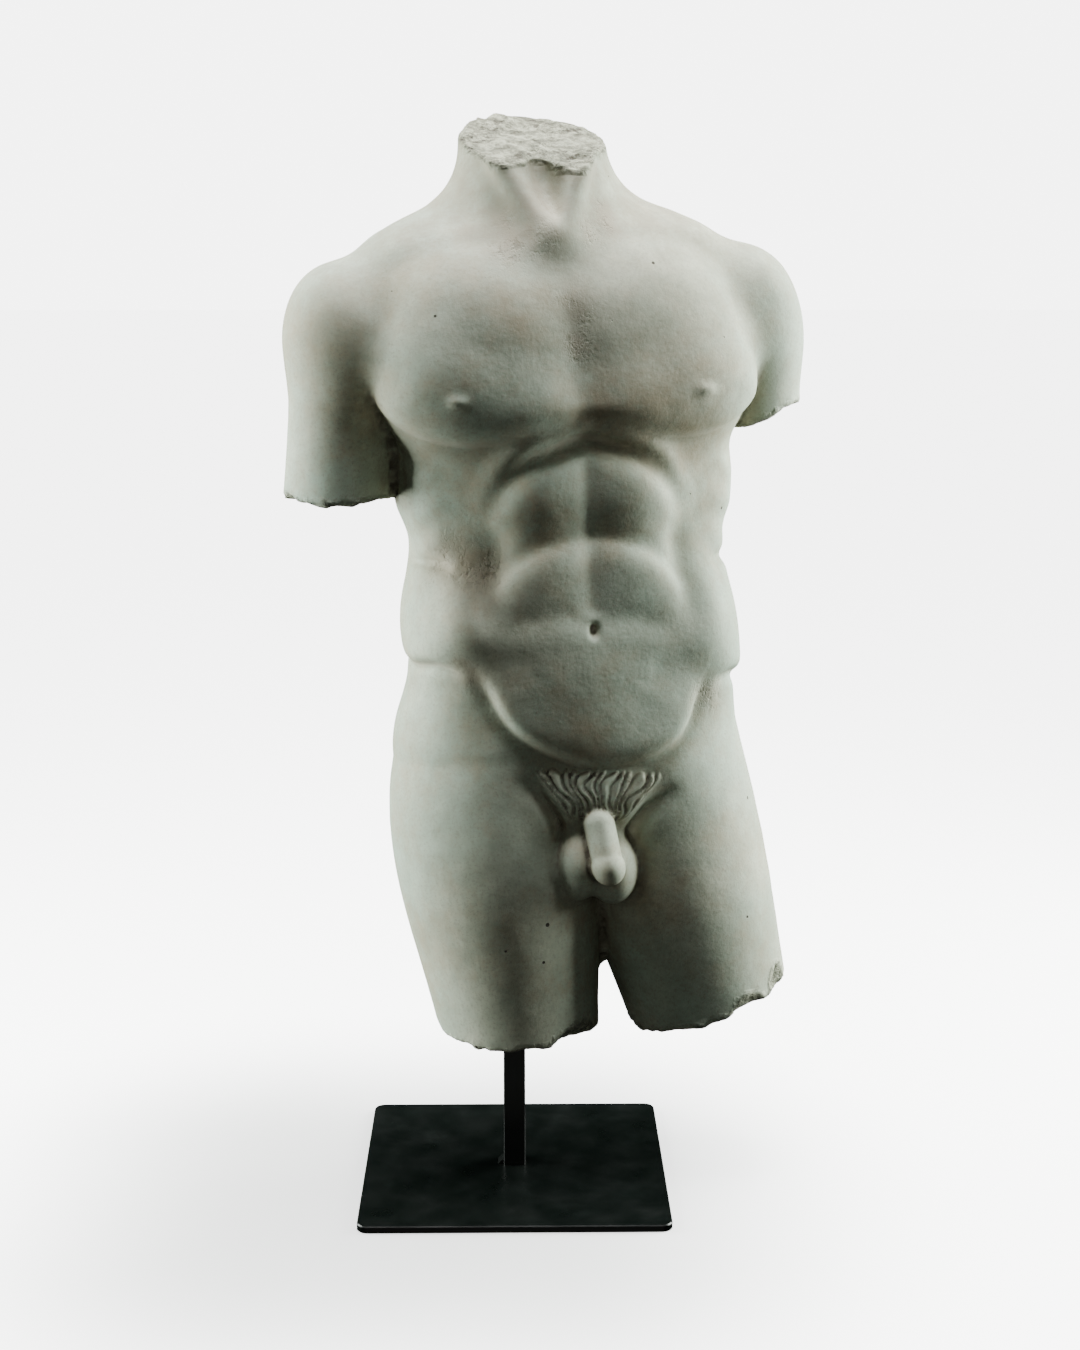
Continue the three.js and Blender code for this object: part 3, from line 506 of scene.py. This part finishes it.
# The breaks are rough, and the whole skin is very slightly uneven.
BREAK_BAND, THIGH_BREAK_BAND, FLAKE_BAND = 2.5, 3, 1.5   # how near a break the skin is rough
NECK_FOOT = 640     # the neck's break is above this height
TRUNK_SIDE = 138    # the arms' breaks are farther out than this
q = in_trunk(points)
broken = np.exp(-(neck_break(q) / BREAK_BAND)**2) * (q[:, 2] > NECK_FOOT)
broken += np.exp(-(right_arm_break(q) / BREAK_BAND)**2) * (q[:, 0] < -TRUNK_SIDE)
broken += np.exp(-(left_arm_break(q) / BREAK_BAND)**2) * (q[:, 0] > TRUNK_SIDE)
for thigh_break in (right_thigh_break, left_thigh_break):
    broken += np.exp(-(thigh_break(points) / THIGH_BREAK_BAND)**2)
for flake, _ in thigh_flakes:
    broken += np.exp(-(flake(points) / FLAKE_BAND)**2)
for flake, _ in arm_flakes:
    broken += np.exp(-(flake(q) / FLAKE_BAND)**2)
broken = np.clip(broken, 0, 1)
in_socket = np.maximum(np.abs(points[:, 0]), np.abs(points[:, 1])) < SOCKET_HALF + 3
in_socket &= points[:, 2] < SOCKET_TOP - THIGH_BREAK_Z + 5
broken[in_socket] = 0
bitten = ease(0.25, 0.7, noise(points, 7, 1.3))
rough = 1.5 * noise(points, 11, 3.1) + 0.9 * noise(points, 5, 7.7) - 1.6 * bitten
uneven = broken * rough + 0.22 * noise(points, 19, 5.5) + 0.1 * noise(points, 8, 2.5)
uneven[in_socket] = 0
points += facing * uneven[:, None]
torso.data.vertices.foreach_set("co", ((points + [0, 0, THIGH_BREAK_Z]) / 1000).ravel())
torso.data.polygons.foreach_set("use_smooth", [True] * len(torso.data.polygons))
torso.data.update()


def hollow(step):
    """How hollow the skin is, by how close it still is at a step outwards, or how proud by a step inwards."""
    return 1 - figure_distance(points + step * facing) / step


# Worn spots on the skin: girth to the left side, height and size.
worn_at = [
    (-34, 642, 14), (38, 642, 14), (-60, 636, 20), (-20, 655, 20), (70, 650, 14),
    (4, 588, 16), (0, 560, 12),
    (-92, 384, 20), (-118, 388, 24),
    (-96, 300, 14), (96, 290, 16),
]
signed_girth = np.sign(q[:, 0]) * girth_of(q)
worn = np.zeros(len(points))
for u, v, size in worn_at:
    worn = np.maximum(worn, np.exp(-((signed_girth - u)**2 + (q[:, 2] - v)**2) / size**2) * (q[:, 1] < 20))
# the hollow measures carry the painted shade, with brown dirt, in the plaster's hollows
for name, values in (
    ("wide_hollow", 0.5 * hollow(34) + 0.5 * hollow(15)),
    ("narrow_hollow", hollow(5)),
    ("proud", -hollow(-5)),
    ("broken", broken),
    ("worn", worn),
):
    layer = torso.data.attributes.new(name, "FLOAT", "POINT")
    layer.data.foreach_set("value", values.astype(np.float32))
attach(torso, "root")
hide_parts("torso")


class Shades:
    """A procedural material, one node a call. A value is a number, a colour or another node's output."""

    def __init__(self, name):
        self.material = bpy.data.materials.new(name)
        self.material.use_nodes = True
        self.tree = self.material.node_tree
        self.shader = self.tree.nodes["Principled BSDF"]
        self.place = self.tree.nodes.new("ShaderNodeTexCoord").outputs["Object"]

    def put(self, value, socket):
        if isinstance(value, bpy.types.NodeSocket):
            self.tree.links.new(value, socket)
        else:
            socket.default_value = value

    def node(self, kind, out=0, **values):
        """Adds a node: _name sets a property, i0 is an input by number, and others are inputs by name."""
        made = self.tree.nodes.new("ShaderNode" + kind)
        for key, value in values.items():
            if key.startswith("_"):
                setattr(made, key[1:], value)
            elif key[0] == "i" and key[1:].isdigit():
                self.put(value, made.inputs[int(key[1:])])
            else:
                self.put(value, made.inputs[key.replace("_", " ")])
        return made.outputs[out]

    def noise(self, scale, detail=3.0, rough=0.55):
        return self.node("TexNoise", Vector=self.place, Scale=scale, Detail=detail, Roughness=rough)

    def attribute(self, name):
        return self.node("Attribute", out="Fac", _attribute_name=name)

    def maths(self, kind, a, b=0.0):
        return self.node("Math", _operation=kind, i0=a, i1=b)

    def between(self, value, low, high, to_low=0.0, to_high=1.0):
        return self.node("MapRange", Value=value, From_Min=low, From_Max=high, To_Min=to_low, To_Max=to_high)

    def mix(self, share, a, b):
        made = self.tree.nodes.new("ShaderNodeMix")
        made.data_type = "RGBA"
        self.put(share, made.inputs[0])
        self.put(a, made.inputs[6])
        self.put(b, made.inputs[7])
        return made.outputs[2]

    def bump(self, height, strength, distance, before=None):
        made = self.tree.nodes.new("ShaderNodeBump")
        made.inputs["Strength"].default_value = strength
        made.inputs["Distance"].default_value = distance
        self.put(height, made.inputs["Height"])
        if before is not None:
            self.put(before, made.inputs["Normal"])
        return made.outputs["Normal"]


# The casting's plaster: matt and pale, a little greener in clouds, with painted shade and brown dirt in the
# hollows, pinholes left by air, and pits where it is worn or broken, both painted dark inside as shade.
plaster = Shades("plaster")
# clouds, mottle, stains and grain over the whole skin
clouds = plaster.between(plaster.noise(6.0, 5.0, 0.6), 0.38, 0.62)
colour = plaster.mix(clouds, (0.60, 0.62, 0.49, 1), (0.47, 0.58, 0.475, 1))
mottle = plaster.between(plaster.noise(26.0, 7.0, 0.72), 0.38, 0.62, 0.0, 0.6)
colour = plaster.mix(mottle, colour, (0.37, 0.42, 0.33, 1))
stains = plaster.between(plaster.noise(9.0, 9.0, 0.75), 0.48, 0.66, 0.0, 0.7)
colour = plaster.mix(stains, colour, (0.44, 0.36, 0.24, 1))
grain = plaster.noise(420.0, 4.0, 0.7)
colour = plaster.mix(plaster.between(grain, 0.5, 0.7, 0.0, 0.5), colour, (0.32, 0.31, 0.24, 1))
# painted shade with brown dirt in the hollows, rubbed high places, and painted shade over the top of the
# figure
patchy = plaster.between(plaster.noise(45.0, 6.0, 0.7), 0.35, 0.65, 0.4, 1.3)
# painted shade with brown dirt: the plaster is darkened where the skin is hollow, wide and narrow
wide_shade_and_dirt = plaster.between(plaster.attribute("wide_hollow"), 0.14, 0.6, 0.0, 0.5)
wide_shade_and_dirt = plaster.maths("MULTIPLY", wide_shade_and_dirt, patchy)
colour = plaster.mix(wide_shade_and_dirt, colour, (0.24, 0.195, 0.13, 1))
narrow_shade_and_dirt = plaster.between(plaster.attribute("narrow_hollow"), 0.08, 0.6, 0.0, 0.7)
narrow_shade_and_dirt = plaster.maths("MULTIPLY", narrow_shade_and_dirt, patchy)
colour = plaster.mix(narrow_shade_and_dirt, colour, (0.10, 0.085, 0.06, 1))
proud = plaster.between(plaster.attribute("proud"), 0.08, 0.4, 0.0, 0.45)
colour = plaster.mix(proud, colour, (0.68, 0.66, 0.55, 1))
# painted shade: the plaster is darker towards the top, over the shoulders and the neck
height = plaster.node("SeparateXYZ", out=2, Vector=plaster.place)
painted_top_shade = plaster.maths("MULTIPLY", plaster.between(height, 0.68, 0.79, 0.0, 0.75), patchy)
colour = plaster.mix(painted_top_shade, colour, (0.32, 0.305, 0.23, 1))
# pits and crumbs on the breaks and the worn spots, painted dark inside as shade, and chipped lumps on the
# breaks, painted darker where they sink
broken_here = plaster.attribute("broken")
worn_here = plaster.attribute("worn")
where = plaster.between(plaster.noise(34.0, 3.0), 0.4, 0.6, 0.15, 1.0)
pits = plaster.between(plaster.noise(125.0, 3.0, 0.6), 0.54, 0.64)
crumbs = plaster.between(plaster.noise(480.0, 3.0, 0.6), 0.54, 0.64, 0.0, 0.6)
pitting = plaster.maths("MULTIPLY", plaster.maths("MAXIMUM", pits, crumbs), where)
open_skin = plaster.maths("MAXIMUM", broken_here, plaster.maths("MULTIPLY", worn_here, 0.4))
pitted = plaster.maths("MULTIPLY", pitting, open_skin)
lumps = plaster.noise(85.0, 6.0, 0.7)
# painted shade: the chipped lumps take a darker copy of the same colour where their relief sinks
chips_with_painted_shade = plaster.mix(plaster.between(lumps, 0.42, 0.6), (0.17, 0.175, 0.125, 1), (0.53, 0.545, 0.41, 1))
colour = plaster.mix(plaster.maths("MULTIPLY", broken_here, 0.85), colour, chips_with_painted_shade)
colour = plaster.mix(plaster.maths("MULTIPLY", worn_here, 0.55), colour, (0.40, 0.35, 0.27, 1))
# painted shade inside the pits
colour = plaster.mix(plaster.maths("MULTIPLY", pitted, 0.85), colour, (0.07, 0.062, 0.045, 1))
# pinholes: a few of the cells have one, each of its own size, painted dark inside as shade
cells = plaster.tree.nodes.new("ShaderNodeTexVoronoi")
cells.inputs["Scale"].default_value = 36.0
plaster.put(plaster.place, cells.inputs["Vector"])
chosen = plaster.node("SeparateColor", Color=cells.outputs["Color"])
size = plaster.between(chosen, 0.62, 1.0, 0.01, 0.062)
hole = plaster.node("MapRange", Value=plaster.maths("SUBTRACT", cells.outputs["Distance"], size),
                    From_Min=0.0, From_Max=0.012, To_Min=1.0, To_Max=0.0)
hole = plaster.maths("MULTIPLY", hole, plaster.maths("GREATER_THAN", chosen, 0.66))
# painted shade inside the pinholes
colour = plaster.mix(plaster.maths("MULTIPLY", hole, 0.9), colour, (0.05, 0.04, 0.03, 1))
plaster.put(colour, plaster.shader.inputs["Base Color"])
plaster.shader.inputs["Specular IOR Level"].default_value = 0.3
plaster.put(plaster.between(grain, 0.3, 0.7, 0.62, 0.86), plaster.shader.inputs["Roughness"])
relief = plaster.bump(plaster.noise(90.0, 5.0, 0.65), 0.5, 0.0009)
relief = plaster.bump(grain, 0.3, 0.0003, relief)
relief = plaster.bump(plaster.maths("MULTIPLY", pitted, -1.0), 0.9, 0.0016, relief)
relief = plaster.bump(plaster.maths("MULTIPLY", hole, -1.0), 1.0, 0.0012, relief)
relief = plaster.bump(plaster.maths("MULTIPLY", lumps, broken_here), 1.0, 0.006, relief)
plaster.put(relief, plaster.shader.inputs["Normal"])
torso.data.materials.clear()
torso.data.materials.append(plaster.material)

# Steel stand: a square bar with a small weld bead, and the flat plate that it stands on. Both keep their CAD
# solids and are painted black, with a satin gloss, a little dust and the faint orange peel of sprayed paint.
paint = Shades("black satin paint")
dust = paint.between(paint.noise(60.0, 6.0, 0.7), 0.5, 0.8, 0.0, 0.5)
black = paint.mix(dust, (0.0015, 0.0028, 0.0022, 1), (0.006, 0.009, 0.008, 1))
paint.put(black, paint.shader.inputs["Base Color"])
paint.put(paint.between(paint.noise(35.0, 4.0), 0.3, 0.7, 0.26, 0.4), paint.shader.inputs["Roughness"])
paint.put(paint.bump(paint.noise(900.0, 2.0), 0.12, 0.0002), paint.shader.inputs["Normal"])
for name in ("stem", "base_plate"):
    steel = bpy.data.objects[name]
    steel.data.materials.clear()
    steel.data.materials.append(paint.material)

# Floor and light: a pale floor that runs into a pale backdrop, with a painted soft shadow beside the plate. A
# broad light hangs overhead and one stands at each side, a little behind, so that the front stays in half
# shade.
bpy.ops.mesh.primitive_plane_add(size=60, location=(0, 0, 0))
floor = bpy.context.object
floor.name = "floor"
floor.visible_diffuse = False
floor.visible_glossy = False
floor_paint = Shades("floor")
floor_paint.shader.inputs["Base Color"].default_value = (0.6, 0.6, 0.6, 1)
floor_paint.shader.inputs["Roughness"].default_value = 1.0
floor_paint.shader.inputs["Specular IOR Level"].default_value = 0.0
floor_paint.shader.inputs["Emission Color"].default_value = (1, 1, 1, 1)
# a painted shadow: the glow grows with the distance from a square under the plate, nearer to the front and
# the figure's right
centred = floor_paint.node("VectorMath", _operation="ADD", i0=floor_paint.place, i1=(0.085, 0.06, 0))
spread = floor_paint.node("VectorMath", _operation="ABSOLUTE", i0=centred)
beyond = floor_paint.node("VectorMath", _operation="SUBTRACT", i0=spread, i1=(0.095, 0.095, 0))
outside = floor_paint.node("VectorMath", _operation="MAXIMUM", i0=beyond, i1=(0, 0, 0))
away = floor_paint.node("VectorMath", out=1, _operation="LENGTH", i0=outside)
glow_with_painted_shadow = floor_paint.node("MapRange", _interpolation_type="SMOOTHERSTEP", Value=away,
                        From_Min=0.0, From_Max=0.4, To_Min=1.1, To_Max=5.45)
floor_paint.put(glow_with_painted_shadow, floor_paint.shader.inputs["Emission Strength"])
floor.data.materials.append(floor_paint.material)


def soft_light(name, at, target, size, power, color=(1, 1, 1)):
    """A square light at a place, aimed at another, with its size in metres and its power in watts."""
    lamp = bpy.data.objects.new(name, bpy.data.lights.new(name, "AREA"))
    lamp.data.size = size
    lamp.data.energy = power
    lamp.data.color = color
    lamp.location = at
    lamp.rotation_euler = (Vector(target) - Vector(at)).to_track_quat("-Z", "Y").to_euler()
    scene.collection.objects.link(lamp)


soft_light("overhead", (0.0, 0.04, 2.4), (0, 0, 0.5), 1.1, 122)
soft_light("left", (-1.2, 0.18, 0.58), (0, 0, 0.5), 0.9, 48, (0.94, 1, 0.95))
soft_light("right", (1.2, 0.34, 0.78), (0, 0, 0.5), 0.9, 64, (0.94, 1, 0.94))
soft_light("front", (0.0, -3.0, 0.9), (0, 0, 0.5), 2.6, 2.6, (0.97, 1, 0.9))
soft_light("low_fill", (0.0, -2.0, 0.12), (0, 0, 0.5), 2.4, 3.0, (0.99, 1, 0.92))
world = bpy.data.worlds.new("world")
world.use_nodes = True
world.node_tree.nodes["Background"].inputs["Color"].default_value = (1, 1, 1, 1)
world.node_tree.nodes["Background"].inputs["Strength"].default_value = 5.9
world.cycles_visibility.diffuse = False
world.cycles_visibility.glossy = False
scene.world = world
